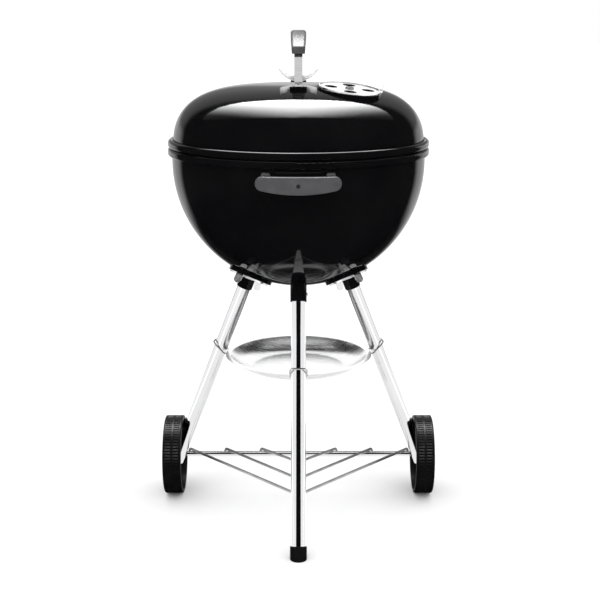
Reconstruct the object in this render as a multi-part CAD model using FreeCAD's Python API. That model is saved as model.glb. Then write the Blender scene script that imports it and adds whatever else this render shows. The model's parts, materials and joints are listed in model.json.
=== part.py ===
import FreeCAD, Part
import math
import os

# Kettle charcoal grill, millimetres.  +Z is up, the front is -Y and the object is
# symmetric about X = 0.  The origin is on the floor, at the middle of the footprint box.
# Everything is modelled about the kettle's own vertical axis and shifted once, on export.

# ---- driving dimensions: kettle ------------------------------------------------------
rim_height = 676.0            # floor to the plane where the lid meets the bowl
bowl_inner_radius = 224.5     # inside of the bowl: a short cylinder on a hemisphere
bowl_straight = 25.0          # height of that cylinder
sheet = 1.5                   # enamelled steel wall
rim_curl_width = 8.8          # rolled edge of the bowl, radial
rim_curl_height = 13.8
lid_clearance = 0.8           # between the lid's lip and the bowl
lid_rise = 110.2              # rim plane to the top of the lid
lid_spring = 3.7              # rim plane to where the lid starts to curve in
lid_side_power = 3.67         # the lid's superellipse, radial exponent
lid_crown_power = 2.4         # and vertical exponent
lid_bead_width = 10.8
lid_bead_height = 14.2
lid_lip = 8.0                 # how far the lid reaches down inside the bowl
rest_gap = 0.3                # between pieces that rest on each other but come apart

# ---- driving dimensions: air dampers ------------------------------------------------
lid_damper_radius = 53.0
lid_damper_reach = 123.0      # from the kettle's axis
lid_damper_azimuth = -45.0
bowl_damper_radius = 38.0
bowl_damper_reach = 100.0
bowl_damper_azimuths = {"left": 210.0, "right": 330.0, "rear": 90.0}
bowl_damper_tabs = {"left": -33.0, "right": 33.0, "rear": 90.0}
damper_sheet = 1.2
damper_lip = 1.6              # height of the damper's turned-up edge
tab_neck = 2.5                # from the damper's edge to the bend of its finger tab
tab_height = 17.0
tab_width = 14.0
lid_seat_rise = 0.8           # flat damper seat above the curved wall, at its middle
bowl_seat_rise = 2.5
seat_margin = 2.5             # seat radius beyond the damper
vent_share = 0.21             # vent hole radius over damper radius
vent_pitch_share = 0.6        # radius of the circle of vents over damper radius
vent_count = 4
rivet_radius = 3.0
rivet_head_radius = 7.5
rivet_head = 2.0
running_fit = 0.05            # radial clearance of parts that turn or slide on each other

# ---- driving dimensions: stand ------------------------------------------------------
leg_radius = 13.0
leg_wall = 1.2
leg_tilt = 21.5               # degrees from vertical
leg_ground_reach = 265.0      # kettle axis to the leg's axis where that meets the floor
rear_leg_azimuth = 10.0       # degrees behind the X axis
leg_azimuths = {"front": -90.0, "right": rear_leg_azimuth, "left": 180.0 - rear_leg_azimuth}
leg_top_gap = 3.0             # leg's top end to the bowl's wall
socket_gap = 0.15
socket_wall = 1.45
socket_length = 33.3          # along the leg, bowl to the socket's mouth
foot_wall = 1.4
foot_gap = 0.1
foot_length = 21.0            # along the leg, above the floor
foot_floor = 10.0             # solid length below the leg's end
button_radius = 3.4
button_offset = 13.0          # along the leg, above the socket's mouth
button_proud = 2.0
leaf_thickness = 0.8
leaf_width = 9.0

# ---- driving dimensions: wheels, axle and rack ---------------------------------------
wheel_radius = 75.0
wheel_width = 35.0
wheel_inner_face = 222.0      # X of the wheel's open, inboard side
tread_thickness = 6.5
web_thickness = 5.0
hub_radius = 11.0
hub_length = 7.2
axle_radius = 5.5
axle_end = 261.5
cap_radius = 12.0
cap_height = 7.0
leg_below_axle = 14.5         # rear leg beyond the axle, along the leg
wire_radius = 2.5
wire_gap = 0.2                # round a wire in a hole
rack_reaches = {"outer": 205.0, "middle": 135.5, "inner": 66.0}
rack_apexes = {"outer": 0.985, "middle": 0.66, "inner": 0.29}
rack_front_rise = 11.0        # how much higher the rack is at the front leg

# ---- driving dimensions: grates, ash pan and handles ---------------------------------
cooking_grate_drop = 50.0     # below the rim plane
cooking_bar_count = 21
charcoal_grate_drop = 150.0
charcoal_wall_gap = 14.5      # charcoal grate to the bowl's wall
charcoal_bar_count = 13
grate_ring_radius = 3.0
cooking_bar_radius = 2.0
charcoal_bar_radius = 2.6
cross_bar_radius = 2.2
grate_wall_gap = 5.0
grate_tab_overlap = 8.0       # tab in under the grate's ring
grate_tab_width = 20.0
grate_tab_sheet = 3.0
weld_depth = 0.6              # how deep crossing grate bars sink into each other
pan_lip_radius = 135.5
pan_lip_height = 289.3        # top of the pan's flange
pan_flange = 9.5
pan_depth = 25.0
pan_sheet = 1.2
pan_floor_radius = 84.0
clip_wire_radius = 1.5
clip_overlap = 6.0            # how far a clip reaches in under the flange
clip_outer_rise = 21.0        # clip's outer end above its inner end
bowl_handle_width = 139.5
bowl_handle_height = 29.0     # at its middle; the lower edge is bowed
bowl_handle_end = 11.6        # radius of its round ends
bowl_handle_drop = 36.0       # centre below the rim plane
bowl_handle_standoff = 36.0   # bowl's wall to the handle's front face
bowl_handle_bar = 12.0        # thickness of the bar
bowl_handle_round = 2.2       # radius of its edges
bowl_handle_arm_x = 53.0      # the two arms that stand on the bowl
bowl_handle_arm = 15.0
bowl_handle_arm_rise = 2.6    # arms above the bar's top edge
bowl_handle_hole = 3.2        # radius of the hole in its face
lid_grip_length = 190.0
lid_grip_width = 28.0         # at the top of its arch
lid_grip_narrow = 22.5        # width at its lowest point
lid_grip_rise = 92.8          # top of the lid to the top of the grip
lid_grip_depth = 18.0
lid_grip_arch = 26.0
lid_grip_end = 11.7           # height of the grip's ends
lid_grip_round = 5.0
lid_grip_seat = 30.0          # flat length under each end
lid_bracket_width = 14.0
lid_bracket_sheet = 3.0
lid_bracket_bend = 5.0
lid_bracket_lean = 4.0        # top of the upright in from the grip's end
lid_bracket_tab = 22.0        # length of the tab under the grip
lid_foot_reach = 108.0        # kettle axis to the handle's bolts
lid_foot_height = 5.0
lid_foot_tail = 9.0           # bracket beyond its bolt
pad_width = 29.0
pad_length = 24.0
pad_corner = 6.0
shield_width = 68.0
shield_sag = 21.0
shield_tip_rise = 29.8        # top of the lid to the tips of the heat shield
shield_sheet = 1.2
shield_gap = 2.0              # between the shield's ends and the brackets
bolt_radius = 3.0
bolt_gap = 0.1                # round a bolt in a clearance hole
bolt_head_radius = 6.0
bolt_head = 3.0
nut_radius = 5.5
nut_height = 4.0
screw_radius = 2.5
screw_head_radius = 5.0
screw_head = 2.5
head_standoff = 1.4           # flat bolt heads off the curved inside of the bowl

# ---- values that follow from them ----------------------------------------------------
bowl_outer_radius = bowl_inner_radius + sheet
rim_radius = bowl_inner_radius + rim_curl_width
lid_outer_radius = bowl_inner_radius - lid_clearance
bowl_depth = bowl_straight + bowl_outer_radius
lid_base = rim_height + lid_spring
lid_dome = lid_rise - lid_spring
lid_top = rim_height + lid_rise
bowl_handle_reach = bowl_outer_radius + bowl_handle_standoff
lid_grip_top = lid_top + lid_grip_rise
shield_tip_height = lid_top + shield_tip_rise
tilt = math.radians(leg_tilt)
UP = FreeCAD.Vector(0, 0, 1)


def vector(x, y, z):
    return FreeCAD.Vector(x, y, z)


def radial(azimuth):
    """Horizontal unit vector at an azimuth in degrees."""
    angle = math.radians(azimuth)
    return vector(math.cos(angle), math.sin(angle), 0)


def place(shape, origin, x_axis, z_axis):
    """Move a shape from its local axes to an origin and two unit axes."""
    y_axis = z_axis.cross(x_axis)
    matrix = FreeCAD.Matrix(
        x_axis.x, y_axis.x, z_axis.x, origin.x,
        x_axis.y, y_axis.y, z_axis.y, origin.y,
        x_axis.z, y_axis.z, z_axis.z, origin.z,
        0, 0, 0, 1)
    moved = shape.copy()
    moved.Placement = FreeCAD.Placement(matrix).multiply(shape.Placement)
    return moved


def cylinder(radius, start, end):
    """Cylinder between two points."""
    axis = end - start
    return Part.makeCylinder(radius, axis.Length, start, axis)


def tube(outer, inner, start, end):
    return cylinder(outer, start, end).cut(cylinder(inner, start, end))


def polygon_face(points):
    """Planar face with straight edges, from points in one plane."""
    return Part.Face(Part.makePolygon(list(points) + [points[0]]))


def revolved(face):
    return face.revolve(vector(0, 0, 0), UP, 360)


def fused(shapes):
    return shapes[0].multiFuse(shapes[1:]) if len(shapes) > 1 else shapes[0]


def rounded_rectangle(width, height, corner):
    """Face in the XY plane, centred on the origin."""
    plate = Part.makeBox(width, height, 1, vector(-width / 2, -height / 2, 0))
    uprights = [edge for edge in plate.Edges if abs(edge.BoundBox.ZLength - 1) < 1e-6]
    solid = plate.makeFillet(corner, uprights)
    return [face for face in solid.Faces if abs(face.BoundBox.ZMax) < 1e-6][0]


def bent_path(points, bend):
    """Edges of a polyline whose corners are rounded by tangent arcs."""
    edges = []
    start = points[0]
    for before, corner, after in zip(points, points[1:], points[2:]):
        into = (corner - before).normalize()
        out = (after - corner).normalize()
        turn = into.getAngle(out)
        shorter = min((corner - before).Length, (after - corner).Length)
        trim = min(bend * math.tan(turn / 2), 0.49 * shorter)
        radius = trim / math.tan(turn / 2)
        arc_start = corner - into * trim
        arc_end = corner + out * trim
        middle_direction = (out - into).normalize()
        middle = corner + middle_direction * (radius / math.cos(turn / 2) - radius)
        edges.append(Part.LineSegment(start, arc_start).toShape())
        edges.append(Part.Arc(arc_start, middle, arc_end).toShape())
        start = arc_end
    edges.append(Part.LineSegment(start, points[-1]).toShape())
    return edges


def rod(points, radius, bend):
    """Round wire bent along a polyline."""
    path = Part.Wire(bent_path(points, bend))
    direction = points[1] - points[0]
    section = Part.Wire(Part.Circle(points[0], direction, radius).toShape())
    return path.makePipeShell([section], True, False)


def strip(points, thickness, width, bend):
    """Sheet strip: its middle line runs in the local XY plane and its width along Z."""
    left = []
    right = []
    for edge in bent_path([vector(x, y, 0) for x, y in points], bend):
        for side, chain in ((0.5, left), (-0.5, right)):
            spots = []
            for share in (0, 0.5, 1):
                low, high = edge.ParameterRange
                at = low + (high - low) * share
                normal = UP.cross(edge.tangentAt(at))
                spots.append(edge.valueAt(at) + normal * thickness * side)
            chain.append(spots)
    edges = [piece_edge(spots) for spots in left + right]
    edges.append(Part.LineSegment(left[0][0], right[0][0]).toShape())
    edges.append(Part.LineSegment(left[-1][2], right[-1][2]).toShape())
    outline = Part.Wire(Part.__sortEdges__(edges))
    return Part.Face(outline).extrude(vector(0, 0, width)).translated(vector(0, 0, -width / 2))


def piece_edge(spots):
    """Line or arc through the start, middle and end of an offset edge."""
    start, middle, end = spots
    if middle.distanceToLine(start, end - start) < 1e-6:
        return Part.LineSegment(start, end).toShape()
    return Part.Arc(start, middle, end).toShape()


# ---- kettle walls --------------------------------------------------------------------

def lid_drop(reach, inset=0.0):
    """Height of the lid's superellipse above its base, at a distance from the axis."""
    share = reach / (lid_outer_radius - inset)
    return (lid_dome - inset) * (1 - share ** lid_side_power) ** (1 / lid_crown_power)


def lid_reach(drop, inset=0.0):
    """Radius of the lid's superellipse at a height above its base."""
    share = drop / (lid_dome - inset)
    return (lid_outer_radius - inset) * (1 - share ** lid_crown_power) ** (1 / lid_side_power)


def lid_solid(inset):
    """Filled lid above the height where it starts to curve in, its wall moved in by an inset."""
    shoulder = 0.8 * (lid_outer_radius - inset)
    steps = 8
    drops = [lid_drop(shoulder, inset) * step / steps for step in range(steps)]
    spots = [vector(lid_reach(drop, inset), 0, lid_base + drop) for drop in drops]
    for step in range(steps + 1):
        reach = shoulder * (1 - step / steps)
        spots.append(vector(reach, 0, lid_base + lid_drop(reach, inset)))
    curve = Part.BSplineCurve()
    curve.interpolate(Points=spots, InitialTangent=UP, FinalTangent=vector(-1, 0, 0))
    axis_base = vector(0, 0, lid_base)
    edges = [curve.toShape(),
             Part.LineSegment(spots[-1], axis_base).toShape(),
             Part.LineSegment(axis_base, spots[0]).toShape()]
    return revolved(Part.Face(Part.Wire(edges)))


def bowl_solid(inset):
    """Filled bowl, its wall moved in by an inset: a cylinder on a hemisphere."""
    radius = bowl_outer_radius - inset
    spring = vector(0, 0, rim_height - bowl_straight)
    rim = Part.makeCylinder(radius, bowl_straight, spring)
    return rim.fuse(Part.makeSphere(radius, spring, UP, -90, 0, 360)).removeSplitter()


def bowl_radius_at(height, inset=0.0):
    below = max(rim_height - bowl_straight - height, 0)
    return math.sqrt((bowl_outer_radius - inset) ** 2 - below ** 2)


def lid_height_at(reach):
    return lid_base + lid_drop(reach)


def bowl_height_at(reach):
    return rim_height - bowl_straight - math.sqrt(bowl_outer_radius ** 2 - reach ** 2)


def stadium(width, height, inner, top, inset):
    """Upright stadium face in the XZ plane, from its inner radius and its top."""
    face = rounded_rectangle(width - 2 * inset, height - 2 * inset, width / 2 - inset - 0.01)
    centre = vector(inner + width / 2, 0, top - height / 2)
    return place(face, centre, vector(1, 0, 0), vector(0, -1, 0))


def section_box(inner, outer, low, high):
    """Rectangle face in the XZ plane."""
    return polygon_face([vector(inner, 0, low), vector(outer, 0, low),
                         vector(outer, 0, high), vector(inner, 0, high)])


def rolled_edge(inner, width, top, height):
    """Hollow rolled or pressed bead as a ring of sheet, before its seam is cut."""
    return stadium(width, height, inner, top, 0).cut(stadium(width, height, inner, top, sheet))


def damper_seat(lid):
    """Frame of a damper's flat seat for the lid (True) or for a bowl azimuth."""
    if lid is True:
        reach, azimuth, rise = lid_damper_reach, lid_damper_azimuth, lid_seat_rise
        height_at, way = lid_height_at, 1
    else:
        reach, azimuth, rise = bowl_damper_reach, lid, bowl_seat_rise
        height_at, way = bowl_height_at, -1
    slope = height_at(reach + 0.5) - height_at(reach - 0.5)
    out = radial(azimuth)
    normal = ((UP - out * slope) * way).normalize()
    along = (out - normal * out.dot(normal)).normalize()
    origin = out * reach + UP * height_at(reach) + normal * rise
    return origin, along, normal


def vent_holes(radius, depth):
    """Cutters for a ring of vents and the rivet, in a seat's local frame."""
    pitch = radius * vent_pitch_share
    cutters = []
    for number in range(vent_count):
        centre = radial(45 + 360 / vent_count * number) * pitch
        cutters.append(cylinder(radius * vent_share, centre - UP * depth, centre + UP * depth))
    cutters.append(cylinder(rivet_radius + running_fit, UP * -depth, UP * depth))
    return fused(cutters)


def with_seats(outer, inner, seats):
    """Shell between two filled walls, with a raised flat seat for each damper."""
    for (origin, along, normal), radius in seats:
        depth = 25.0
        outer_boss = cylinder(radius + seat_margin, UP * -depth, vector(0, 0, 0))
        inner_boss = cylinder(radius + seat_margin - sheet, UP * -depth, UP * -sheet)
        outer = outer.fuse(place(outer_boss, origin, along, normal))
        inner = inner.fuse(place(inner_boss, origin, along, normal))
    shell = outer.cut(inner)
    for (origin, along, normal), radius in seats:
        shell = shell.cut(place(vent_holes(radius, 12.0), origin, along, normal))
    return shell


def make_bowl():
    """Enamelled bowl with its rolled rim, damper seats, vents and handle bolt holes."""
    seats = [(damper_seat(azimuth), bowl_damper_radius)
             for azimuth in bowl_damper_azimuths.values()]
    shell = with_seats(bowl_solid(0), bowl_solid(sheet), seats)
    curl_half = rim_curl_width / 2
    above = Part.makeCylinder(rim_radius, rim_height, vector(0, 0, rim_height - curl_half))
    seam = section_box(bowl_outer_radius, bowl_outer_radius + 3,
                       rim_height - rim_curl_height - 1, rim_height - rim_curl_height + 4)
    curl = rolled_edge(bowl_inner_radius, rim_curl_width, rim_height, rim_curl_height)
    bolt_holes = [cylinder(bolt_radius + bolt_gap, start, end) for start, end in handle_bolt_axes()]
    bowl = shell.cut(above).cut(fused(bolt_holes)).fuse(revolved(curl.cut(seam)))
    return bowl.removeSplitter()


def make_lid():
    """Enamelled lid: dome, pressed bead that rests on the bowl, lip that drops inside it."""
    shell = with_seats(lid_solid(0), lid_solid(sheet), [(damper_seat(True), lid_damper_radius)])
    lid_inner = lid_outer_radius - sheet
    bead_low = rim_height + rest_gap
    wall = section_box(lid_inner, lid_outer_radius, rim_height - lid_lip, lid_base + 0.01)
    bead = rolled_edge(lid_inner, lid_bead_width, bead_low + lid_bead_height, lid_bead_height)
    ring = revolved(wall.fuse(bead))
    bolt_holes = [cylinder(bolt_radius + bolt_gap, start, end) for start, end in lid_bolt_axes()]
    return shell.cut(fused(bolt_holes)).fuse(ring).removeSplitter()


# ---- dampers -------------------------------------------------------------------------

def damper_tab(radius, azimuth):
    """Round-ended finger tab, bent up at the damper's edge."""
    bend_at = radius + tab_neck
    top = tab_height - tab_width / 2
    lean = 0.1 * tab_height
    blade = strip([(radius - 2, 0), (bend_at, 0), (bend_at + lean, tab_height)],
                  damper_sheet, tab_width, 2.0)
    blade = place(blade, vector(0, 0, 0), vector(1, 0, 0), vector(0, -1, 0))
    stem = Part.makeBox(tab_neck + lean + 6, tab_width, top + 5,
                        vector(radius - 3, -tab_width / 2, -5))
    end = cylinder(tab_width / 2, vector(radius - 3, 0, top), vector(bend_at + lean + 3, 0, top))
    blade = blade.common(stem.fuse(end))
    return place(blade, UP * damper_sheet / 2, radial(azimuth), UP)


def make_damper(seat, radius, tabs):
    """Turned disc with a raised edge, its vents and its finger tabs."""
    disc = cylinder(radius, vector(0, 0, 0), UP * damper_sheet)
    edge = tube(radius, radius - damper_sheet, vector(0, 0, 0), UP * (damper_sheet + damper_lip))
    blades = [damper_tab(radius, azimuth) for azimuth in tabs]
    damper = fused([disc, edge] + blades).cut(vent_holes(radius, 10.0))
    origin, along, normal = seat
    return place(damper.removeSplitter(), origin + normal * rest_gap, along, normal)


def make_rivet(seat):
    """Rivet that a damper turns on, with a head outside and inside."""
    origin, along, normal = seat
    top = rest_gap + damper_sheet + rest_gap
    head = cylinder(rivet_head_radius, UP * top, UP * (top + rivet_head))
    crown = [edge for edge in head.Edges if edge.BoundBox.ZMin > top + rivet_head - 0.01]
    head = head.makeFillet(rivet_head * 0.7, crown[:1])
    shank = cylinder(rivet_radius, UP * (-sheet - rivet_head), UP * (top + 0.5))
    tail = cylinder(rivet_radius * 1.8, UP * (-sheet - rivet_head), UP * -sheet)
    return place(fused([head, shank, tail]), origin, along, normal)


# ---- legs ----------------------------------------------------------------------------

def leg_frame(azimuth):
    """Outward direction, point where the axis meets the floor, and direction up the leg."""
    out = radial(azimuth)
    up_leg = out * -math.sin(tilt) + UP * math.cos(tilt)
    return out, out * leg_ground_reach, up_leg


def leg_reach_at(height):
    return leg_ground_reach - height * math.tan(tilt)


def along_leg(height):
    """Distance along a leg's axis from the floor to a height."""
    return height / math.cos(tilt)


def socket_top_height():
    """Height where the leg's axis meets the outside of the bowl."""
    low, high = rim_height - bowl_depth, rim_height - bowl_depth / 2
    for _ in range(40):
        middle = (low + high) / 2
        if bowl_radius_at(middle) < leg_reach_at(middle):
            low = middle
        else:
            high = middle
    return (low + high) / 2


def socket_mouth():
    """Distance along a leg's axis from the floor to the socket's mouth."""
    return along_leg(socket_top_height()) - socket_length


def button_side(name):
    """Unit vector from a leg's axis to its spring button."""
    side = UP.cross(radial(leg_azimuths[name]))
    return side * -1 if name == "left" else side


def button_hole(name, radius):
    out, ground, up_leg = leg_frame(leg_azimuths[name])
    centre = ground + up_leg * (socket_mouth() + button_offset)
    return cylinder(radius, centre, centre + button_side(name) * 3 * leg_radius)


def make_socket(name):
    """Enamelled socket tube, welded to the underside of the bowl."""
    out, ground, up_leg = leg_frame(leg_azimuths[name])
    inner = leg_radius + socket_gap
    mouth = ground + up_leg * socket_mouth()
    end = ground + up_leg * (along_leg(socket_top_height()) + leg_radius)
    socket = tube(inner + socket_wall, inner, mouth, end).cut(bowl_solid(0))
    return socket.cut(button_hole(name, button_radius + running_fit))


def make_leg(name):
    """Chromed leg tube; the rear legs are drilled for the axle, the front one for the rack."""
    out, ground, up_leg = leg_frame(leg_azimuths[name])
    top = along_leg(socket_top_height()) - leg_top_gap
    bottom = foot_floor if name == "front" else along_leg(wheel_radius) - leg_below_axle
    leg = tube(leg_radius, leg_radius - leg_wall, ground + up_leg * bottom, ground + up_leg * top)
    leg = leg.cut(button_hole(name, button_radius + running_fit))
    if name == "front":
        return leg.cut(cylinder(wire_radius + wire_gap, *rack_spine_ends()))
    half_width = wheel_inner_face + wheel_width
    axle_hole = cylinder(axle_radius + 0.1, vector(-half_width, axle_y(), wheel_radius),
                         vector(half_width, axle_y(), wheel_radius))
    return leg.cut(axle_hole)


def make_foot():
    """Black cap on the front leg, cut level with the floor."""
    out, ground, up_leg = leg_frame(leg_azimuths["front"])
    inner = leg_radius + foot_gap
    outer = inner + foot_wall
    foot = cylinder(outer, ground - up_leg * foot_length, ground + up_leg * foot_length)
    foot = foot.cut(cylinder(inner, ground + up_leg * foot_floor, ground + up_leg * 2 * foot_length))
    floor = Part.makeBox(8 * outer, 8 * outer, 4 * outer, ground + vector(-4, -4, -4) * outer)
    return foot.cut(floor)


def make_button(name):
    """Spring button with its leaf, which lies inside the leg."""
    out, ground, up_leg = leg_frame(leg_azimuths[name])
    side = button_side(name)
    centre = ground + up_leg * (socket_mouth() + button_offset)
    tip = leg_radius + socket_gap + socket_wall + button_proud
    leaf_face = leg_radius - leg_wall - 1.8
    pin = cylinder(button_radius, UP * (leaf_face - 0.2), UP * tip)
    dome = [edge for edge in pin.Edges if edge.BoundBox.ZMin > tip - 0.01]
    pin = pin.makeFillet(button_radius * 0.5, dome[:1])
    middle = leaf_face - leaf_thickness / 2
    leaf = strip([(6, middle), (-26, middle), (-10, -5)], leaf_thickness, leaf_width, 2.5)
    leaf = place(leaf, vector(0, 0, 0), vector(1, 0, 0), vector(0, -1, 0))
    return place(fused([pin, leaf]), centre, up_leg, side)


# ---- wheels and axle -----------------------------------------------------------------

def axle_y():
    """The axle runs through the rear legs' axes at wheel height."""
    return leg_reach_at(wheel_radius) * math.sin(math.radians(rear_leg_azimuth))


def make_wheel(side):
    """Moulded wheel, hollow on the inboard side so that the leg's end tucks into it."""
    tyre = Part.makeCylinder(wheel_radius, wheel_width)
    shoulders = [edge for edge in tyre.Edges if edge.BoundBox.ZLength < 1e-6]
    tyre = tyre.makeFillet(4.0, shoulders)
    web_face = wheel_width - web_thickness
    hollow = Part.makeCylinder(wheel_radius - tread_thickness, web_face + 1, vector(0, 0, -1))
    dish = Part.makeCylinder(wheel_radius - 2 * tread_thickness, 2, vector(0, 0, wheel_width - 2))
    boss = Part.makeCylinder(hub_radius, hub_length, vector(0, 0, wheel_width - hub_length))
    boss = boss.fuse(Part.makeCylinder(hub_radius * 1.6, web_thickness, vector(0, 0, web_face)))
    wheel = tyre.cut(hollow).cut(dish).fuse(boss)
    bore = Part.makeCylinder(axle_radius + running_fit, 3 * wheel_width, vector(0, 0, -wheel_width))
    origin = vector(side * wheel_inner_face, axle_y(), wheel_radius)
    return place(wheel.cut(bore).removeSplitter(), origin, vector(0, 1, 0), vector(side, 0, 0))


def make_axle():
    return cylinder(axle_radius, vector(-axle_end, axle_y(), wheel_radius),
                    vector(axle_end, axle_y(), wheel_radius))


def make_hub_cap(side):
    """Push-on cap that keeps the wheel on the axle."""
    start = wheel_inner_face + wheel_width + rest_gap
    cap = Part.makeCylinder(cap_radius, cap_height)
    crown = [edge for edge in cap.Edges if edge.BoundBox.ZMin > cap_height - 0.01]
    cap = cap.makeFillet(cap_height * 0.6, crown[:1])
    cap = cap.cut(Part.makeCylinder(axle_radius + 0.02, axle_end - start))
    origin = vector(side * start, axle_y(), wheel_radius)
    return place(cap, origin, vector(0, 1, 0), vector(side, 0, 0))


# ---- bottom rack ---------------------------------------------------------------------

def hook_height():
    """Centre of a rack wire where it passes over the axle."""
    return wheel_radius + axle_radius + wire_radius + 0.1


def rack_front_y():
    """Back of the front leg at the rack's height."""
    return -leg_reach_at(hook_height() + rack_front_rise) + leg_radius / math.cos(tilt)


def rack_point(x, share, below=0.0):
    """Point of the rack's plane; share runs from the axle (0) to the front leg (1)."""
    y = axle_y() + (rack_front_y() - axle_y()) * share
    return vector(x, y, hook_height() + rack_front_rise * share - below)


def make_rack_wire(name):
    """V-shaped wire, its point at the front and both ends hooked over the axle."""
    apex = rack_point(0, rack_apexes[name])
    over_axle = rack_point(rack_reaches[name], 0)
    hook_back = axle_radius + wire_radius + 0.6
    hook_x = over_axle.x * (1 + hook_back / (over_axle.y - apex.y))
    hook = vector(hook_x, over_axle.y + hook_back, over_axle.z)
    half = [vector(hook.x, hook.y, wheel_radius - 3), hook]
    mirrored = [vector(-point.x, point.y, point.z) for point in reversed(half)]
    arms = fused([rod(side + [apex], wire_radius, hook_back)
                  for side in (half, list(reversed(mirrored)))])
    return arms.fuse(Part.makeSphere(wire_radius, apex))


def rack_spine_ends():
    """The spine runs under the wires and ends inside the front leg."""
    below = 2 * wire_radius + 0.05
    start = rack_point(0, rack_apexes["inner"] - 0.1, below)
    return start, rack_point(0, 1 + 6 / (rack_point(0, 0) - rack_point(0, 1)).Length, below)


def make_rack_spine():
    return cylinder(wire_radius, *rack_spine_ends())


# ---- grates --------------------------------------------------------------------------

def make_grate(radius, height, bar_count, bar_radius):
    """Ring of heavy wire, parallel bars welded into it and two cross bars under them."""
    centre_radius = radius - grate_ring_radius
    pieces = [Part.makeTorus(centre_radius, grate_ring_radius, UP * height)]
    pitch = 2 * centre_radius / (bar_count + 1)
    for number in range(1, bar_count + 1):
        x = -centre_radius + pitch * number
        reach = math.sqrt(centre_radius ** 2 - x ** 2)
        pieces.append(cylinder(bar_radius, vector(x, -reach, height), vector(x, reach, height)))
    cross_z = height - bar_radius - cross_bar_radius + weld_depth
    for y in (-0.5 * centre_radius, 0.5 * centre_radius):
        reach = math.sqrt(centre_radius ** 2 - y ** 2)
        pieces.append(cylinder(cross_bar_radius, vector(-reach, y, cross_z),
                               vector(reach, y, cross_z)))
    return fused(pieces)


def cooking_grate_height():
    return rim_height - cooking_grate_drop


def charcoal_grate_height():
    return rim_height - charcoal_grate_drop


def cooking_grate_radius():
    return bowl_radius_at(cooking_grate_height(), sheet) - grate_wall_gap


def charcoal_grate_radius():
    return bowl_radius_at(charcoal_grate_height(), sheet) - charcoal_wall_gap


def make_grate_tabs(radius, height):
    """Four steel tabs welded inside the bowl; the grate's ring rests on them."""
    top = height - grate_ring_radius - rest_gap
    tabs = []
    for azimuth in (45, 135, 225, 315):
        reach = bowl_radius_at(top, sheet) + grate_tab_overlap
        inner = radius - grate_tab_overlap
        tab = Part.makeBox(reach - inner, grate_tab_width, grate_tab_sheet,
                           vector(inner, -grate_tab_width / 2, top - grate_tab_sheet))
        tab = place(tab, vector(0, 0, 0), radial(azimuth), UP)
        tabs.append(tab.common(bowl_solid(sheet)))
    return Part.makeCompound(tabs)


# ---- ash pan and its clips -----------------------------------------------------------

def make_ash_pan():
    """Shallow aluminium dish with a flat flange."""
    inner = pan_lip_radius - pan_flange
    low = pan_lip_height - pan_depth
    floor_top = low + pan_sheet
    bulge = 4.0
    middle_reach = (inner + pan_floor_radius) / 2 + bulge
    middle_height = (pan_lip_height + floor_top) / 2 - bulge

    def wall(shift):
        return Part.Arc(vector(inner + shift, 0, pan_lip_height - pan_sheet),
                        vector(middle_reach + shift * 0.8, 0, middle_height - shift * 0.6),
                        vector(pan_floor_radius + shift * 0.4, 0, floor_top - shift)).toShape()

    inside = wall(0)
    outside = wall(pan_sheet)
    lip = pan_lip_height - pan_sheet
    edges = [inside,
             Part.LineSegment(vector(inner, 0, lip), vector(inner, 0, pan_lip_height)).toShape(),
             Part.LineSegment(vector(inner, 0, pan_lip_height),
                              vector(pan_lip_radius, 0, pan_lip_height)).toShape(),
             Part.LineSegment(vector(pan_lip_radius, 0, pan_lip_height),
                              vector(pan_lip_radius, 0, lip)).toShape(),
             Part.LineSegment(vector(pan_lip_radius, 0, lip),
                              vector(inner + pan_sheet, 0, lip)).toShape(),
             outside,
             Part.LineSegment(vector(pan_floor_radius + pan_sheet * 0.4, 0, low),
                              vector(0, 0, low)).toShape(),
             Part.LineSegment(vector(0, 0, low), vector(0, 0, floor_top)).toShape(),
             Part.LineSegment(vector(0, 0, floor_top),
                              vector(pan_floor_radius, 0, floor_top)).toShape()]
    return revolved(Part.Face(Part.Wire(Part.__sortEdges__(edges))))


def make_clip(name):
    """Spring-wire loop round a leg, bent level under the pan's flange."""
    level = pan_lip_height - pan_sheet - rest_gap - clip_wire_radius
    side = leg_radius + clip_wire_radius + 0.15
    outer_z = level + clip_outer_rise
    outer = leg_reach_at(outer_z) + (leg_radius + 0.15) / math.cos(tilt) + clip_wire_radius + 0.3
    bend_in = pan_lip_radius + 4
    inner = pan_lip_radius - clip_overlap
    half = [vector(outer, 0, outer_z), vector(outer, side, outer_z),
            vector(bend_in, side, level), vector(inner, side, level), vector(inner, 0, level)]
    wire = fused([rod(half, clip_wire_radius, 9.0),
                  rod(half, clip_wire_radius, 9.0).mirror(vector(0, 0, 0), vector(0, 1, 0))])
    return place(wire, vector(0, 0, 0), radial(leg_azimuths[name]), UP)


# ---- handles -------------------------------------------------------------------------

def handle_height():
    return rim_height - bowl_handle_drop


def handle_bolt_axes():
    """Start and end of each bowl handle bolt, from inside the bowl outwards."""
    axes = []
    for front in (-1, 1):
        for x in (-bowl_handle_arm_x, bowl_handle_arm_x):
            reach = math.sqrt((bowl_handle_reach - bowl_handle_bar) ** 2 - x ** 2)
            wall = math.sqrt(bowl_radius_at(handle_height(), sheet) ** 2 - x ** 2)
            axes.append((vector(x, front * (wall - sheet), handle_height()),
                         vector(x, front * (reach - bolt_radius), handle_height())))
    return axes


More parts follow.
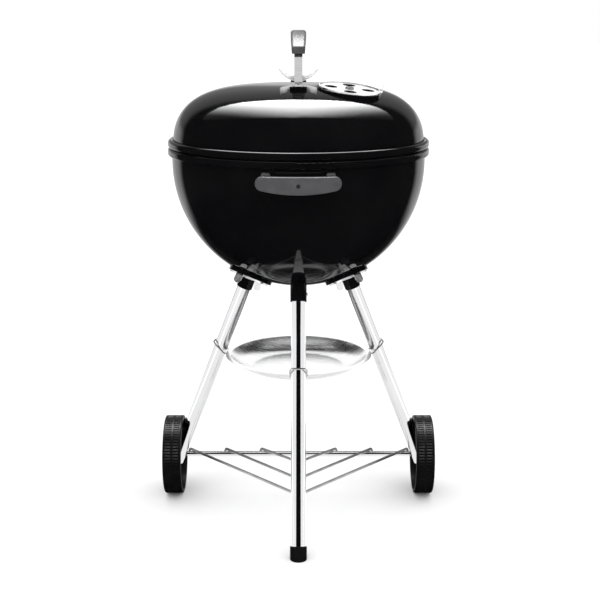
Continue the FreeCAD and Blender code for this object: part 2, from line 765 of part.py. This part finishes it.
def make_bowl_handle(front):
    """Moulded grip bar, curved with the bowl, with two arms that seat on its wall."""
    low = handle_height() - bowl_handle_height
    inner = bowl_handle_reach - bowl_handle_bar
    band = tube(bowl_handle_reach, inner, vector(0, 0, low),
                vector(0, 0, low + 2 * bowl_handle_height))
    outline = place(bowed_outline(), vector(0, 0, handle_height()), vector(1, 0, 0),
                    vector(0, -1, 0))
    bar = band.common(outline.extrude(vector(0, -2 * bowl_handle_reach, 0)))
    bar = bar.makeFillet(bowl_handle_round, bar.Edges)
    handle = fused([bar] + bowl_handle_arms(inner)).cut(bowl_solid(0))
    face = bowl_handle_reach - bowl_handle_bar / 2
    handle = handle.cut(cylinder(bowl_handle_hole, vector(0, -2 * bowl_handle_reach, handle_height()),
                                 vector(0, -face, handle_height())))
    if front > 0:
        handle = handle.mirror(vector(0, 0, 0), vector(0, 1, 0))
    for start, end in handle_bolt_axes():
        handle = handle.cut(cylinder(bolt_radius + running_fit, start, end))
    return handle


def bowed_outline():
    """Face of the bowl handle: straight top, round ends and a bowed lower edge, all tangent."""
    half = bowl_handle_width / 2
    top = bowl_handle_height / 2
    end_x = half - bowl_handle_end
    end_z = top - bowl_handle_end
    spare = bowl_handle_height - 2 * bowl_handle_end
    bow = (end_x ** 2 + bowl_handle_height * spare) / (2 * spare)
    bow_z = bow - top
    reach = bow / (bow - bowl_handle_end)
    join = vector(end_x * reach, bow_z + (end_z - bow_z) * reach, 0)
    mirrored = vector(-join.x, join.y, 0)
    edges = [Part.LineSegment(vector(-end_x, top, 0), vector(end_x, top, 0)),
             Part.Arc(vector(end_x, top, 0), vector(half, end_z, 0), join),
             Part.Arc(join, vector(0, -top, 0), mirrored),
             Part.Arc(mirrored, vector(-half, end_z, 0), vector(-end_x, top, 0))]
    return Part.Face(Part.Wire([edge.toShape() for edge in edges]))


def bowl_handle_arms(inner):
    """Two rounded arms from the bar's back to the bowl's wall."""
    arms = []
    sunk = 4.0
    low = handle_height() - bowl_handle_height / 2 + 2 * bowl_handle_round
    height = handle_height() + bowl_handle_height / 2 + bowl_handle_arm_rise - low
    for x in (-bowl_handle_arm_x, bowl_handle_arm_x):
        arm = Part.makeBox(bowl_handle_arm, inner, height,
                           vector(x - bowl_handle_arm / 2, -inner - sunk, low))
        along = [edge for edge in arm.Edges if abs(edge.BoundBox.YLength - inner) < 1e-3]
        arm = arm.makeFillet(1.5 * bowl_handle_round, along)
        arms.append(arm.common(Part.makeCylinder(inner + sunk, rim_height)))
    return arms


def make_handle_bolts():
    """Bolts from inside the bowl into the handles' arms."""
    bolts = []
    for start, end in handle_bolt_axes():
        way = (end - start).normalize()
        wall = bowl_radius_at(handle_height(), sheet)
        head_face = way * math.sqrt(wall ** 2 - start.x ** 2) + vector(start.x, 0, start.z)
        seat = head_face - way * head_standoff
        head = cylinder(screw_head_radius, seat - way * screw_head, seat)
        bolts.append(fused([head, cylinder(bolt_radius, seat - way, end - way * 0.5)]))
    return Part.makeCompound(bolts)


def lid_foot_top():
    """Top of the pads that the handle brackets stand on."""
    return lid_height_at(lid_foot_reach) + lid_foot_height


def lid_bolt_axes():
    """Start and end of each lid handle bolt, from inside the lid upwards."""
    axes = []
    for y in (-lid_foot_reach, lid_foot_reach):
        axes.append((vector(0, y, lid_foot_top() - 6 * bolt_radius),
                     vector(0, y, lid_foot_top() + 2 * bolt_radius)))
    return axes


def make_lid_pads():
    """Two pads that follow the lid under the handle's feet."""
    pads = []
    for start, end in lid_bolt_axes():
        plate = rounded_rectangle(pad_width, pad_length, pad_corner)
        block = plate.extrude(vector(0, 0, 3 * lid_foot_height))
        pad = block.translated(vector(0, start.y, lid_foot_top() - 3 * lid_foot_height))
        pads.append(pad.cut(lid_solid(0)).cut(cylinder(bolt_radius + bolt_gap, start, end)))
    return Part.makeCompound(pads)


def grip_end_height():
    """Underside of the grip at its two ends."""
    return lid_grip_top - lid_grip_arch - lid_grip_end


def make_lid_bracket(front):
    """Strip bent into a foot on the lid, an upright and a tab under the grip."""
    foot_z = lid_foot_top() + lid_bracket_sheet / 2
    tab_z = grip_end_height() - lid_bracket_sheet / 2 - 0.02
    reach = lid_grip_length / 2
    top = reach - lid_bracket_lean
    points = [(lid_foot_reach + lid_foot_tail, foot_z), (reach, foot_z), (top, tab_z),
              (top - lid_bracket_tab, tab_z)]
    bracket = strip(points, lid_bracket_sheet, lid_bracket_width, lid_bracket_bend)
    bracket = place(bracket, vector(0, 0, 0), vector(0, front, 0), vector(front, 0, 0))
    for start, end in lid_bolt_axes() + grip_screw_axes():
        bracket = bracket.cut(cylinder(bolt_radius + bolt_gap, start, end))
    return bracket


def make_lid_bolts():
    """Bolt with a round head on each foot and a nut inside the lid."""
    bolts = []
    for start, end in lid_bolt_axes():
        top = vector(0, start.y, lid_foot_top() + lid_bracket_sheet)
        head = cylinder(bolt_head_radius, top, top + UP * bolt_head)
        crown = [edge for edge in head.Edges if edge.BoundBox.ZMin > top.z + bolt_head - 0.1]
        head = head.makeFillet(0.7 * bolt_head, crown[:1])
        nut_top = vector(0, start.y, lid_height_at(lid_foot_reach + nut_radius) - 2 * sheet)
        nut = cylinder(nut_radius, nut_top - UP * nut_height, nut_top)
        shank = cylinder(bolt_radius, nut_top - UP * 1.5 * nut_height, top + UP)
        bolts.append(fused([head, nut, shank]))
    return Part.makeCompound(bolts)


def grip_screw_axes():
    """Start and end of each screw that holds the grip to its brackets."""
    low = grip_end_height() - lid_bracket_sheet
    inset = lid_grip_length / 2 - lid_bracket_lean - 0.6 * lid_bracket_tab
    return [(vector(0, y, low - 2 * screw_head), vector(0, y, low + lid_grip_end))
            for y in (-inset, inset)]


def make_grip_screws():
    screws = []
    for start, end in grip_screw_axes():
        head_top = start + UP * (2 * screw_head - bolt_gap)
        head = cylinder(screw_head_radius, head_top - UP * screw_head, head_top)
        screws.append(fused([head, cylinder(screw_radius, head_top - UP, end - UP)]))
    return Part.makeCompound(screws)


def make_lid_grip():
    """Arched moulded grip, narrower downwards, rounded all round and flat under its ends."""
    half = lid_grip_length / 2
    low = grip_end_height()
    end_top = lid_grip_top - lid_grip_arch
    under_middle = lid_grip_top - lid_grip_depth
    seat = lid_grip_seat
    corners = [vector(0, -half, low), vector(0, -half, end_top), vector(0, 0, lid_grip_top),
               vector(0, half, end_top), vector(0, half, low), vector(0, half - seat, low),
               vector(0, 0, under_middle), vector(0, seat - half, low)]
    edges = [Part.LineSegment(corners[0], corners[1]).toShape(),
             Part.Arc(corners[1], corners[2], corners[3]).toShape(),
             Part.LineSegment(corners[3], corners[4]).toShape(),
             Part.LineSegment(corners[4], corners[5]).toShape(),
             Part.Arc(corners[5], corners[6], corners[7]).toShape(),
             Part.LineSegment(corners[7], corners[0]).toShape()]
    blank = Part.Face(Part.Wire(edges)).extrude(vector(lid_grip_width, 0, 0))
    blank = blank.translated(vector(-lid_grip_width / 2, 0, 0))
    wide, narrow = lid_grip_width / 2, lid_grip_narrow / 2
    taper = polygon_face([vector(-narrow, -half, low), vector(narrow, -half, low),
                          vector(wide, -half, lid_grip_top), vector(-wide, -half, lid_grip_top)])
    blank = blank.common(taper.extrude(vector(0, lid_grip_length, 0)))
    rounds = [edge for edge in blank.Edges if edge.BoundBox.ZMax > low + 0.01]
    grip = blank.makeFillet(lid_grip_round, rounds)
    for start, end in grip_screw_axes():
        grip = grip.cut(cylinder(screw_radius + running_fit, start, end))
    return grip


def make_heat_shield():
    """Trough of thin sheet between the brackets, under the grip."""
    half = shield_width / 2
    bottom = shield_tip_height - shield_sag
    length = lid_grip_length - 2 * (lid_bracket_lean + lid_bracket_sheet + shield_gap)
    outer = Part.Arc(vector(-half, 0, shield_tip_height), vector(0, 0, bottom),
                     vector(half, 0, shield_tip_height))
    arcs = [outer.toShape(),
            Part.Arc(vector(shield_sheet - half, 0, shield_tip_height + shield_sheet / 2),
                     vector(0, 0, bottom + shield_sheet),
                     vector(half - shield_sheet, 0, shield_tip_height + shield_sheet / 2)).toShape()]
    ends = [Part.LineSegment(arcs[0].Vertexes[0].Point, arcs[1].Vertexes[0].Point).toShape(),
            Part.LineSegment(arcs[0].Vertexes[1].Point, arcs[1].Vertexes[1].Point).toShape()]
    section = Part.Face(Part.Wire(Part.__sortEdges__(arcs + ends)))
    return section.extrude(vector(0, length, 0)).translated(vector(0, -length / 2, 0))


# ---- assembly ------------------------------------------------------------------------

def kettle_y():
    """Shift that centres the object's front and rear reach on the origin."""
    foot_front = leg_ground_reach + (leg_radius + foot_gap + foot_wall) / math.cos(tilt)
    return (foot_front - bowl_handle_reach) / 2


def make_nodes():
    """Every sub-part by name, about the kettle's axis."""
    lid_seat = damper_seat(True)
    nodes = {
        "lid": make_lid(),
        "lid_handle_grip": make_lid_grip(),
        "lid_handle_bracket_front": make_lid_bracket(-1),
        "lid_handle_bracket_rear": make_lid_bracket(1),
        "lid_handle_pads": make_lid_pads(),
        "lid_handle_bolts": make_lid_bolts(),
        "lid_handle_screws": make_grip_screws(),
        "heat_shield": make_heat_shield(),
        "lid_damper": make_damper(lid_seat, lid_damper_radius, [-lid_damper_azimuth]),
        "lid_damper_rivet": make_rivet(lid_seat),
        "bowl": make_bowl(),
        "bowl_handle_front": make_bowl_handle(-1),
        "bowl_handle_rear": make_bowl_handle(1),
        "bowl_handle_bolts": make_handle_bolts(),
        "cooking_grate": make_grate(cooking_grate_radius(), cooking_grate_height(),
                                    cooking_bar_count, cooking_bar_radius),
        "cooking_grate_tabs": make_grate_tabs(cooking_grate_radius(), cooking_grate_height()),
        "charcoal_grate": make_grate(charcoal_grate_radius(), charcoal_grate_height(),
                                     charcoal_bar_count, charcoal_bar_radius),
        "charcoal_grate_tabs": make_grate_tabs(charcoal_grate_radius(), charcoal_grate_height()),
        "front_foot": make_foot(),
        "ash_pan": make_ash_pan(),
        "axle": make_axle(),
        "rack_spine": make_rack_spine(),
    }
    rivets = []
    for name, azimuth in bowl_damper_azimuths.items():
        seat = damper_seat(azimuth)
        tabs = [bowl_damper_tabs[name], bowl_damper_tabs[name] + 180]
        nodes["bowl_damper_" + name] = make_damper(seat, bowl_damper_radius, tabs)
        rivets.append(make_rivet(seat))
    nodes["bowl_damper_rivets"] = Part.makeCompound(rivets)
    for name in leg_azimuths:
        nodes["leg_socket_" + name] = make_socket(name)
        nodes["leg_" + name] = make_leg(name)
        nodes["leg_button_" + name] = make_button(name)
        nodes["ash_pan_clip_" + name] = make_clip(name)
    for name, side in (("left", -1), ("right", 1)):
        nodes["wheel_" + name] = make_wheel(side)
        nodes["hub_cap_" + name] = make_hub_cap(side)
    for name in rack_reaches:
        nodes["rack_wire_" + name] = make_rack_wire(name)
    return nodes


def export(nodes):
    os.makedirs("parts", exist_ok=True)
    for name, shape in nodes.items():
        shape.translated(vector(0, kettle_y(), 0)).exportStep("parts/" + name + ".step")


export(make_nodes())
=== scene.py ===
"""Kettle charcoal grill: finishes, moulded detail, studio and camera on the CAD frame.

Metres, the row frame: +Z up, front towards -Y.  Positions come from the CAD nodes' boxes.
"""
import json
import math

import bmesh
import bpy
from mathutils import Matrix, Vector

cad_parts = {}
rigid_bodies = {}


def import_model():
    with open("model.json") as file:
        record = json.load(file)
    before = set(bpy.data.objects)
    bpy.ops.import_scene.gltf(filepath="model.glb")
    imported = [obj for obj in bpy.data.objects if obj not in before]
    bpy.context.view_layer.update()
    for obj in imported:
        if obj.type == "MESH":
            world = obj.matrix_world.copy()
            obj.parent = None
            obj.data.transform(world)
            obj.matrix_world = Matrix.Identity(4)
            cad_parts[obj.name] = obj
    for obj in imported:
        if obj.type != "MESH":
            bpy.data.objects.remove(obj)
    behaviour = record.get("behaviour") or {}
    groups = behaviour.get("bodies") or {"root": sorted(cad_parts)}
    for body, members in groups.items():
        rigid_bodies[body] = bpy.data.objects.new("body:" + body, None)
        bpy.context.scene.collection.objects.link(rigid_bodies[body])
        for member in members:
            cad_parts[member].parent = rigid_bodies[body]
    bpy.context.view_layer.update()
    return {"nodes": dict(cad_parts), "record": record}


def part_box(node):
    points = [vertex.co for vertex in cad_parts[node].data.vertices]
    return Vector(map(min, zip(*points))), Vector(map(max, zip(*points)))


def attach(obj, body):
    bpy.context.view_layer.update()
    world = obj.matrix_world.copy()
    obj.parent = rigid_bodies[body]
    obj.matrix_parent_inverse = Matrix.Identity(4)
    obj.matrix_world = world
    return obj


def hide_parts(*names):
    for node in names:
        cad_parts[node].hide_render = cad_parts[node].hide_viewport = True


# ---- camera, relative to the kettle's axis -------------------------------------------
CAMERA_SIDE = 0.0027
CAMERA_BACK = 2.17866
CAMERA_HEIGHT = 0.91484
CAMERA_PITCH = 13.5           # degrees below level
CAMERA_LENS = 72.73           # mm on a 36 mm sensor

# ---- studio ---------------------------------------------------------------------------
FLOOR_HALF = 30.0
SKY_LIGHT = 4.4               # even light from above, for matt pieces and the floor
SOFTBOX_SIZE = (4.4, 3.2)     # overhead, leaning forward: its mirror image crosses the lid
SOFTBOX_TILT = 40.0
SOFTBOX_EDGE = (0.0, 0.9, 2.0)
SOFTBOX_POWER = 320.0
SOFTBOX_SPREAD = 108.0
SOFTBOX_FADE = ((0.1, 0.03), (0.5, 1.0), (0.9, 0.03))   # brightness from left to right
TOP_SIZE = 2.4
TOP_HEIGHT = 2.6
CARD_RADIANCE = 1.0
TOP_RADIANCE = 1.0
FRONT_RADIANCE = 0.8          # wall ahead, as the lid handle and damper plates see it
FRONT_SIZE = (8.0, 3.0)
FRONT_PLACE = (-5.0, 0.9)     # Y from the kettle, height
BACK_RADIANCE = 1.1           # wall behind, as the ash pan and lid damper see it
BACK_SIZE = (3.0, 3.0)
BACK_PLACE = (3.0, 1.8)
CARD_X = 1.5
CARD_Y = (-2.2, 1.0)
CARD_Z = (0.0, 1.5)
BOUNCE_HALF = 3.0
BOUNCE_HEIGHT = 0.002         # just above the floor
SKY_ANGLE = 170.0             # nearly a half sphere, so the light has no hard shadow
WALL_BRIGHT = 0.75            # white wall behind, as glossy pieces see it
BACK_TONES = ((-1, 0.015), (0.62, 0.015), (0.74, 1), (1, 1))
LEVEL_TONES = ((-1, 0.02), (-0.45, 0.03), (-0.3, 1), (0.05, 1), (0.14, 0.36), (1, 0.36))
METAL_SLOTS = ("bracket_steel", "bright_aluminium", "chromed_steel", "grate_steel",
               "fastener_steel")

# ---- wheel detail ----------------------------------------------------------------------
TREAD_RIBS = 84
RIB_STEPS = 4                 # mesh columns for each rib and groove
TREAD_DEPTH = 0.0011
TREAD_EDGE = 0.0045           # plain shoulder on each side of the ribs
TREAD_LINE = 0.0016           # half width of the raised line round the middle
TREAD_SLOPE = 0.0008          # width of a groove's sloping end
TREAD_WALL = 0.0065
SHARP_ANGLE = 35.0            # edges sharper than this keep a crease
SHOULDER = 0.0025             # rounding of the tread's two edges
WEB = 0.005                   # disc on the outboard side; the inboard side is hollow
DISH = 0.002
HUB_RADIUS = 0.011
HUB_LENGTH = 0.0072           # short of the leg, which runs close inside the wheel
HUB_BORE = 0.00555

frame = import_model()
NODES = frame["nodes"]


# ---- node helpers ----------------------------------------------------------------------

class Shader:
    """A principled material with procedural variation."""

    def __init__(self, name, roughness, metallic=0.0):
        self.material = bpy.data.materials.new(name)
        self.material.use_nodes = True
        self.tree = self.material.node_tree
        self.bsdf = self.tree.nodes["Principled BSDF"]
        self.bsdf.inputs["Roughness"].default_value = roughness
        self.bsdf.inputs["Metallic"].default_value = metallic

    def node(self, kind, **values):
        made = self.tree.nodes.new(kind)
        for key, value in values.items():
            made.inputs[key].default_value = value
        return made

    def link(self, source, target):
        self.tree.links.new(source, target)

    def noise(self, scale, detail=3.0, stretch=(1.0, 1.0, 1.0)):
        """Noise in the piece's own coordinates, stretched along an axis for brushed metal."""
        where = self.node("ShaderNodeTexCoord")
        mapping = self.node("ShaderNodeMapping", Scale=stretch)
        noise = self.node("ShaderNodeTexNoise", Scale=scale, Detail=detail)
        self.link(where.outputs["Object"], mapping.inputs["Vector"])
        self.link(mapping.outputs["Vector"], noise.inputs["Vector"])
        return noise.outputs["Fac"]

    def spread(self, factor, low, high, start=0.3, end=0.7):
        """Map a noise factor to a range of numbers."""
        ramp = self.node("ShaderNodeMapRange", **{"From Min": start, "From Max": end,
                                                  "To Min": low, "To Max": high})
        self.link(factor, ramp.inputs["Value"])
        return ramp.outputs["Result"]

    def colour(self, factor, dark, light):
        ramp = self.node("ShaderNodeValToRGB")
        ramp.color_ramp.elements[0].color = (*dark, 1)
        ramp.color_ramp.elements[0].position = 0.3
        ramp.color_ramp.elements[1].color = (*light, 1)
        ramp.color_ramp.elements[1].position = 0.7
        self.link(factor, ramp.inputs["Fac"])
        self.link(ramp.outputs["Color"], self.bsdf.inputs["Base Color"])

    def rough(self, factor, low, high):
        self.link(self.spread(factor, low, high), self.bsdf.inputs["Roughness"])

    def bump(self, factor, strength, distance):
        bump = self.node("ShaderNodeBump", Strength=strength, Distance=distance)
        self.link(factor, bump.inputs["Height"])
        self.link(bump.outputs["Normal"], self.bsdf.inputs["Normal"])


def make_enamel():
    """Glossy black porcelain enamel: near-mirror, with a faint flow in the surface."""
    shader = Shader("black_enamel", 0.07)
    shader.colour(shader.noise(9.0), (0.0025, 0.0025, 0.003), (0.0045, 0.0045, 0.005))
    shader.rough(shader.noise(4.0), 0.05, 0.085)
    shader.bump(shader.noise(26.0, 1.0), 0.05, 0.0006)
    return shader.material


def make_grip_plastic():
    """Dark grey glass-filled nylon with a fine moulded grain."""
    shader = Shader("grip_plastic", 0.4)
    shader.colour(shader.noise(60.0), (0.066, 0.066, 0.069), (0.084, 0.084, 0.087))
    shader.rough(shader.noise(25.0), 0.3, 0.42)
    shader.bump(shader.noise(1400.0, 2.0), 0.12, 0.0002)
    return shader.material


def make_metal(name, dark, light, roughness, stretch, grain):
    """Bare or plated metal whose tone and roughness vary along its grain."""
    shader = Shader(name, roughness[0], 1.0)
    shader.colour(shader.noise(grain, 4.0, stretch), dark, light)
    shader.rough(shader.noise(grain * 0.7, 3.0, stretch), *roughness)
    shader.bump(shader.noise(grain * 3, 2.0, stretch), 0.04, 0.0001)
    return shader.material


def make_black_plastic(name, roughness):
    shader = Shader(name, roughness[0])
    shader.colour(shader.noise(35.0), (0.0035, 0.0035, 0.0035), (0.006, 0.006, 0.006))
    shader.rough(shader.noise(18.0), *roughness)
    shader.bsdf.inputs["Specular IOR Level"].default_value = 0.35
    shader.bump(shader.noise(900.0, 2.0), 0.1, 0.0002)
    return shader.material


MATERIALS = {
    "black_enamel": make_enamel(),
    "grip_plastic": make_grip_plastic(),
    "bracket_steel": make_metal("bracket_steel", (0.72,) * 3, (0.82,) * 3, (0.22, 0.34),
                                (1, 1, 12), 40.0),
    "bright_aluminium": make_metal("bright_aluminium", (0.78, 0.78, 0.785), (0.88, 0.88, 0.885),
                                   (0.2, 0.3), (1, 14, 1), 30.0),
    "chromed_steel": make_metal("chromed_steel", (0.80, 0.80, 0.81), (0.86, 0.86, 0.87),
                                (0.06, 0.1), (1, 1, 1), 12.0),
    "wheel_plastic": make_black_plastic("wheel_plastic", (0.3, 0.42)),
    "foot_plastic": make_black_plastic("foot_plastic", (0.35, 0.5)),
    "grate_steel": make_metal("grate_steel", (0.4,) * 3, (0.55,) * 3, (0.3, 0.45), (1, 1, 1), 50.0),
    "fastener_steel": make_metal("fastener_steel", (0.55,) * 3, (0.68,) * 3, (0.22, 0.36),
                                 (1, 1, 1), 80.0),
}


def dress(piece, slot):
    """Give a piece its record slot and finish."""
    piece.data.materials.clear()
    piece.data.materials.append(MATERIALS[slot])


def centre_of(node):
    low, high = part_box(node)
    return (low + high) / 2


# ---- carried-over CAD nodes -------------------------------------------------------------

def dress_cad():
    """Finish every CAD node that stays in view, from the record's material slots."""
    for row in frame["record"]["subparts"]:
        piece = NODES[row["node"]]
        piece.data.materials.clear()
        piece.data.materials.append(MATERIALS[row["material_slot"]])


# ---- wheels -----------------------------------------------------------------------------

def wheel_section(width, radius):
    """Closed half section of a wheel: distance from the inboard face, radius, is grooved."""
    middle = width / 2
    wall = radius - TREAD_WALL
    rim = radius - 2 * TREAD_WALL
    corner = 0.3 * SHOULDER
    hub_end = width - HUB_LENGTH
    inside = [(hub_end, HUB_BORE), (hub_end, HUB_RADIUS), (width - WEB, HUB_RADIUS),
              (width - WEB, wall), (0, wall)]
    near_edge = [(0, radius - SHOULDER), (corner, radius - corner), (SHOULDER, radius),
                 (TREAD_EDGE, radius)]
    line = [(middle - TREAD_LINE, radius), (middle + TREAD_LINE, radius)]
    far_edge = [(width - place, size) for place, size in reversed(near_edge)]
    outside = [(width, rim), (width - DISH, rim - DISH), (width - DISH, HUB_RADIUS + DISH),
               (width, HUB_RADIUS), (width, HUB_BORE)]
    first = [TREAD_EDGE + TREAD_SLOPE, middle - TREAD_LINE - TREAD_SLOPE]
    second = [width - place for place in reversed(first)]
    plain = [[(*point, False) for point in points]
             for points in (inside + near_edge, line, far_edge + outside)]
    grooves = [[(place, radius, True) for place in places] for places in (first, second)]
    return plain[0] + grooves[0] + plain[1] + grooves[1] + plain[2]


def make_wheel(node, side):
    """Moulded wheel with cross-ribbed tread, turned about the CAD wheel's own axis."""
    low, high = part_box(node)
    centre = (low + high) / 2
    section = wheel_section(high.x - low.x, (high.z - low.z) / 2)
    inboard = low.x if side > 0 else high.x
    columns = TREAD_RIBS * RIB_STEPS
    shape = bmesh.new()
    rings = []
    for column in range(columns):
        angle = 2 * math.pi * column / columns
        sunk = TREAD_DEPTH if column % RIB_STEPS >= RIB_STEPS // 2 else 0.0
        ring = []
        for place, radius, grooved in section:
            reach = radius - sunk if grooved else radius
            ring.append(shape.verts.new((inboard + side * place,
                                         centre.y + reach * math.cos(angle),
                                         centre.z + reach * math.sin(angle))))
        rings.append(ring)
    for column, ring in enumerate(rings):
        following = rings[(column + 1) % columns]
        for point in range(len(section)):
            after = (point + 1) % len(section)
            shape.faces.new((ring[point], ring[after], following[after], following[point]))
    bmesh.ops.recalc_face_normals(shape, faces=shape.faces)
    mesh = bpy.data.meshes.new(node + "_moulding")
    shape.to_mesh(mesh)
    shape.free()
    for face in mesh.polygons:
        face.use_smooth = True
    mesh.set_sharp_from_angle(angle=math.radians(SHARP_ANGLE))
    piece = bpy.data.objects.new(node + "_moulding", mesh)
    bpy.context.scene.collection.objects.link(piece)
    dress(piece, "wheel_plastic")
    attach(piece, node + "_body")
    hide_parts(node)


# ---- studio -----------------------------------------------------------------------------

def aim(thing, target):
    thing.rotation_euler = (Vector(target) - thing.location).to_track_quat("-Z", "Y").to_euler()


def add_light(name, place, size, power, target, spread=180.0):
    data = bpy.data.lights.new(name, "AREA")
    data.shape = "RECTANGLE"
    data.size, data.size_y = size
    data.energy = power
    data.spread = math.radians(spread)
    light = bpy.data.objects.new(name, data)
    light.location = place
    aim(light, target)
    bpy.context.scene.collection.objects.link(light)
    return light


def fade_sideways(data, stops):
    """Dim an area light towards its left and right edges."""
    data.use_nodes = True
    tree = data.node_tree
    where = tree.nodes.new("ShaderNodeNewGeometry")
    split = tree.nodes.new("ShaderNodeSeparateXYZ")
    ramp = tree.nodes.new("ShaderNodeValToRGB")
    ramp.color_ramp.interpolation = "EASE"
    for _ in stops[1:-1]:
        ramp.color_ramp.elements.new(0.5)
    for element, (place, tone) in zip(ramp.color_ramp.elements, stops):
        element.position = place
        element.color = (tone, tone, tone, 1)
    tree.links.new(where.outputs["Parametric"], split.inputs["Vector"])
    tree.links.new(split.outputs["X"], ramp.inputs["Fac"])
    tree.links.new(ramp.outputs["Color"], tree.nodes["Emission"].inputs["Color"])


def make_floor():
    mesh = bpy.data.meshes.new("floor")
    corners = [(-FLOOR_HALF, -FLOOR_HALF, 0), (FLOOR_HALF, -FLOOR_HALF, 0),
               (FLOOR_HALF, FLOOR_HALF, 0), (-FLOOR_HALF, FLOOR_HALF, 0)]
    mesh.from_pydata(corners, [], [(0, 1, 2, 3)])
    floor = bpy.data.objects.new("floor", mesh)
    bpy.context.scene.collection.objects.link(floor)
    shader = Shader("floor_paper", 0.8)
    shader.colour(shader.noise(3.0), (0.90, 0.90, 0.90), (0.93, 0.93, 0.93))
    shader.bsdf.inputs["Specular IOR Level"].default_value = 0.1
    mesh.materials.append(shader.material)
    floor.visible_glossy = False


def tone_ramp(tree, source, stops):
    """Grey ramp over a direction's component, which runs from -1 to 1."""
    remap = tree.nodes.new("ShaderNodeMapRange")
    remap.inputs["From Min"].default_value = -1.0
    ramp = tree.nodes.new("ShaderNodeValToRGB")
    tree.links.new(source, remap.inputs["Value"])
    tree.links.new(remap.outputs["Result"], ramp.inputs["Fac"])
    for _ in stops[1:-1]:
        ramp.color_ramp.elements.new(0.5)
    for element, (place, tone) in zip(ramp.color_ramp.elements, stops):
        element.position = (place + 1) / 2
        element.color = (tone, tone, tone, 1)
    return ramp.outputs["Color"]


def make_world():
    """White for the camera; for everything else a dim room with a white wall behind."""
    world = bpy.data.worlds.new("studio")
    world.use_nodes = True
    tree = world.node_tree
    tree.nodes.clear()
    out = tree.nodes.new("ShaderNodeOutputWorld")
    path = tree.nodes.new("ShaderNodeLightPath")
    where = tree.nodes.new("ShaderNodeTexCoord")
    split = tree.nodes.new("ShaderNodeSeparateXYZ")
    tree.links.new(where.outputs["Generated"], split.inputs["Vector"])
    back = tone_ramp(tree, split.outputs["Y"], BACK_TONES)
    level = tone_ramp(tree, split.outputs["Z"], LEVEL_TONES)
    both = tree.nodes.new("ShaderNodeMix")
    both.data_type = "RGBA"
    both.blend_type = "MULTIPLY"
    both.inputs["Factor"].default_value = 1.0
    tree.links.new(back, both.inputs["A"])
    tree.links.new(level, both.inputs["B"])
    room = tree.nodes.new("ShaderNodeBackground")
    room.inputs["Strength"].default_value = WALL_BRIGHT
    tree.links.new(both.outputs["Result"], room.inputs["Color"])
    seen = tree.nodes.new("ShaderNodeBackground")
    seen.inputs["Color"].default_value = (1, 1, 1, 1)
    mix = tree.nodes.new("ShaderNodeMixShader")
    tree.links.new(path.outputs["Is Camera Ray"], mix.inputs["Fac"])
    tree.links.new(room.outputs["Background"], mix.inputs[1])
    tree.links.new(seen.outputs["Background"], mix.inputs[2])
    tree.links.new(mix.outputs["Shader"], out.inputs["Surface"])
    bpy.context.scene.world = world


def pieces_with(slots, name):
    """Collection of every object piece whose finish is one of the slots."""
    group = bpy.data.collections.new(name)
    finishes = [MATERIALS[slot] for slot in slots]
    for piece in bpy.data.objects:
        if piece.type == "MESH" and piece.data.materials:
            if piece.data.materials[0] in finishes:
                group.objects.link(piece)
    return group


def reflector(name, place, size, radiance, target, receivers):
    """Area light that only the receivers' reflections see."""
    power = radiance * math.pi * size[0] * size[1]
    light = add_light(name, place, size, power, target)
    light.visible_diffuse = False
    light.light_linking.receiver_collection = receivers
    return light


def make_lights():
    kettle = centre_of("bowl")
    sky_data = bpy.data.lights.new("sky", "SUN")
    sky_data.angle = math.radians(SKY_ANGLE)
    sky_data.energy = SKY_LIGHT
    sky = bpy.data.objects.new("sky", sky_data)
    sky.visible_glossy = False
    bpy.context.scene.collection.objects.link(sky)

    tilt = math.radians(SOFTBOX_TILT)
    reach = SOFTBOX_SIZE[1] / 2
    x, y, z = SOFTBOX_EDGE
    middle = Vector((x, kettle.y + y - reach * math.cos(tilt), z + reach * math.sin(tilt)))
    softbox = add_light("softbox", middle, SOFTBOX_SIZE, SOFTBOX_POWER,
                        middle + Vector((0, -math.sin(tilt), -math.cos(tilt))), SOFTBOX_SPREAD)
    softbox.visible_diffuse = False
    fade_sideways(softbox.data, SOFTBOX_FADE)
    others = [slot for slot in MATERIALS if slot not in METAL_SLOTS]
    softbox.light_linking.receiver_collection = pieces_with(others, "non_metals")

    metals = pieces_with(METAL_SLOTS, "metals")
    card = (CARD_Y[1] - CARD_Y[0], CARD_Z[1] - CARD_Z[0])
    for side in (-1, 1):
        centre = (side * CARD_X, kettle.y + sum(CARD_Y) / 2, sum(CARD_Z) / 2)
        reflector("card", centre, card, CARD_RADIANCE, (0, centre[1], centre[2]), metals)
    reflector("bounce", (0, kettle.y, BOUNCE_HEIGHT), (2 * BOUNCE_HALF,) * 2, CARD_RADIANCE,
              (0, kettle.y, 1), metals)
    handle_metals = pieces_with(("bracket_steel", "bright_aluminium"), "handle_metals")
    for name, (y, z), size, radiance in (("front", FRONT_PLACE, FRONT_SIZE, FRONT_RADIANCE),
                                         ("back", BACK_PLACE, BACK_SIZE, BACK_RADIANCE)):
        reflector(name, (0, kettle.y + y, z), size, radiance, (0, kettle.y, z), handle_metals)
    reflector("top", (0, kettle.y, TOP_HEIGHT), (TOP_SIZE,) * 2, TOP_RADIANCE,
              (0, kettle.y, 0), metals)


def make_camera():
    data = bpy.data.cameras.new("camera")
    data.lens = CAMERA_LENS
    data.sensor_width = 36.0
    camera = bpy.data.objects.new("camera", data)
    camera.location = (CAMERA_SIDE, centre_of("bowl").y - CAMERA_BACK, CAMERA_HEIGHT)
    camera.rotation_euler = (math.radians(90 - CAMERA_PITCH), 0, 0)
    bpy.context.scene.collection.objects.link(camera)
    bpy.context.scene.camera = camera


dress_cad()
make_wheel("wheel_left", -1)
make_wheel("wheel_right", 1)
make_floor()
make_world()
make_lights()
make_camera()
bpy.context.scene.view_settings.view_transform = "Standard"
